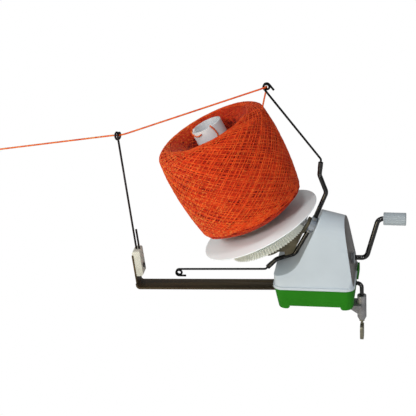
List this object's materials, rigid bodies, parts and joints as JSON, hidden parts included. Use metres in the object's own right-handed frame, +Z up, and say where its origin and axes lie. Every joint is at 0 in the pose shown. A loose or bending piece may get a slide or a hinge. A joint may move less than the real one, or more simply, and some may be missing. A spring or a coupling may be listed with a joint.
{
  "type": "yarn ball winder",
  "caption": "Crank-driven yarn ball winder with a table clamp, a two-armed flyer, a leaning spool that holds a wound ball, and a wire yarn guide on a bar.",
  "frame": {"origin": "centre of the base's foot plane, on the centre foot's underside", "axes": "+X from the yarn guide towards the crank, +Z up, +Y away from the side that the picture shows"},
  "size_m": [0.5053, 0.15, 0.3355],
  "materials": {
    "green_plastic": "satin",
    "light_plastic": "gloss",
    "steel_screw": "satin",
    "cast_frame": "cast",
    "bronze": "satin",
    "grey_ring": "matt",
    "steel": "satin",
    "olive_casting": "matt",
    "black_metal": "gloss",
    "brown_strip": "worn",
    "white_clip": "satin",
    "dark_screw": "satin",
    "guide_wire_steel": "satin",
    "yarn": "matt",
    "gear_plastic": "satin",
    "grip_plastic": "satin",
    "steel_gear": "satin",
    "grey_hub": "satin",
    "chrome_wire": "bright",
    "white_plastic": "satin",
    "grey_casting": "cast",
    "paddle_metal": "satin"
  },
  "bodies": {
    "base": {"base_tray": "green_plastic", "top_shell": "light_plastic", "base_screws": "steel_screw", "gear_frame": "cast_frame", "frame_screws": "steel_screw", "crank_bushes": "bronze", "sleeve_bush": "bronze", "crank_ring": "grey_ring", "fixed_tube": "steel", "tube_set_screw": "steel_screw", "spindle_carrier": "olive_casting", "carrier_screw": "steel_screw", "spindle": "steel", "spindle_clip": "steel", "clamp_hook": "black_metal", "hook_pin": "steel", "guide_bar": "brown_strip", "bar_screw": "steel_screw", "guide_clip": "white_clip", "clip_screw": "dark_screw", "guide_wire": "guide_wire_steel", "yarn_feed": "yarn"},
    "crank": {"crank_rod": "black_metal", "crank_collar": "steel", "crank_gear": "gear_plastic", "crank_pin": "steel", "grip_ring": "steel"},
    "grip": {"grip": "grip_plastic"},
    "flyer": {"flyer_sleeve": "steel", "flyer_pinion": "steel_gear", "flyer_hub": "grey_hub", "hub_screws": "steel_screw", "flyer_arm_upper": "black_metal", "flyer_arm_lower": "black_metal", "flyer_wire_upper": "chrome_wire", "flyer_wire_lower": "chrome_wire", "yarn_run": "yarn"},
    "drive": {"drive_rod": "steel", "rod_pinion": "steel_gear", "spool_pinion": "steel_gear"},
    "spool": {"spool_flange": "white_plastic", "ring_gear": "white_plastic", "spool_core": "white_plastic", "yarn_ball": "yarn"},
    "jaw": {"clamp_jaw": "grey_casting"},
    "screw": {"clamp_screw": "paddle_metal"}
  },
  "joints": [
    {"name": "crank_turn", "type": "hinge", "parent": "base", "child": "crank", "pos_m": [0, 0, 0.0536], "axis": [1, 0, 0], "continuous": true},
    {"name": "grip_spin", "type": "hinge", "parent": "crank", "child": "grip", "pos_m": [0.09, 0, 0.1064], "axis": [1, 0, 0], "continuous": true},
    {"name": "flyer_turn", "type": "hinge", "parent": "base", "child": "flyer", "pos_m": [-0.00167, 0, 0.09581], "axis": [-0.9018, 0, 0.4321], "continuous": true},
    {"name": "rod_turn", "type": "hinge", "parent": "base", "child": "drive", "pos_m": [-0.00167, 0, 0.09581], "axis": [-0.9018, 0, 0.4321], "continuous": true},
    {"name": "spool_turn", "type": "hinge", "parent": "base", "child": "spool", "pos_m": [-0.06644, 0, 0.0951], "axis": [-0.4242, 0, 0.9056], "continuous": true},
    {"name": "jaw_slide", "type": "slide", "parent": "base", "child": "jaw", "axis": [0, 0, 1], "range_m": [-0.012, 0.007]},
    {"name": "screw_turn", "type": "hinge", "parent": "jaw", "child": "screw", "pos_m": [0.0552, 0, -0.02], "axis": [0, 0, 1], "range_deg": [-6172, 3601]}
  ],
  "couplings": [
    {"joint": "flyer_turn", "follows": "crank_turn", "ratio": 3.6364},
    {"joint": "rod_turn", "follows": "crank_turn", "ratio": 3.6364},
    {"joint": "spool_turn", "follows": "crank_turn", "ratio": -0.40909},
    {"joint": "screw_turn", "follows": "jaw_slide", "rad_per_m": 8976}
  ]
}
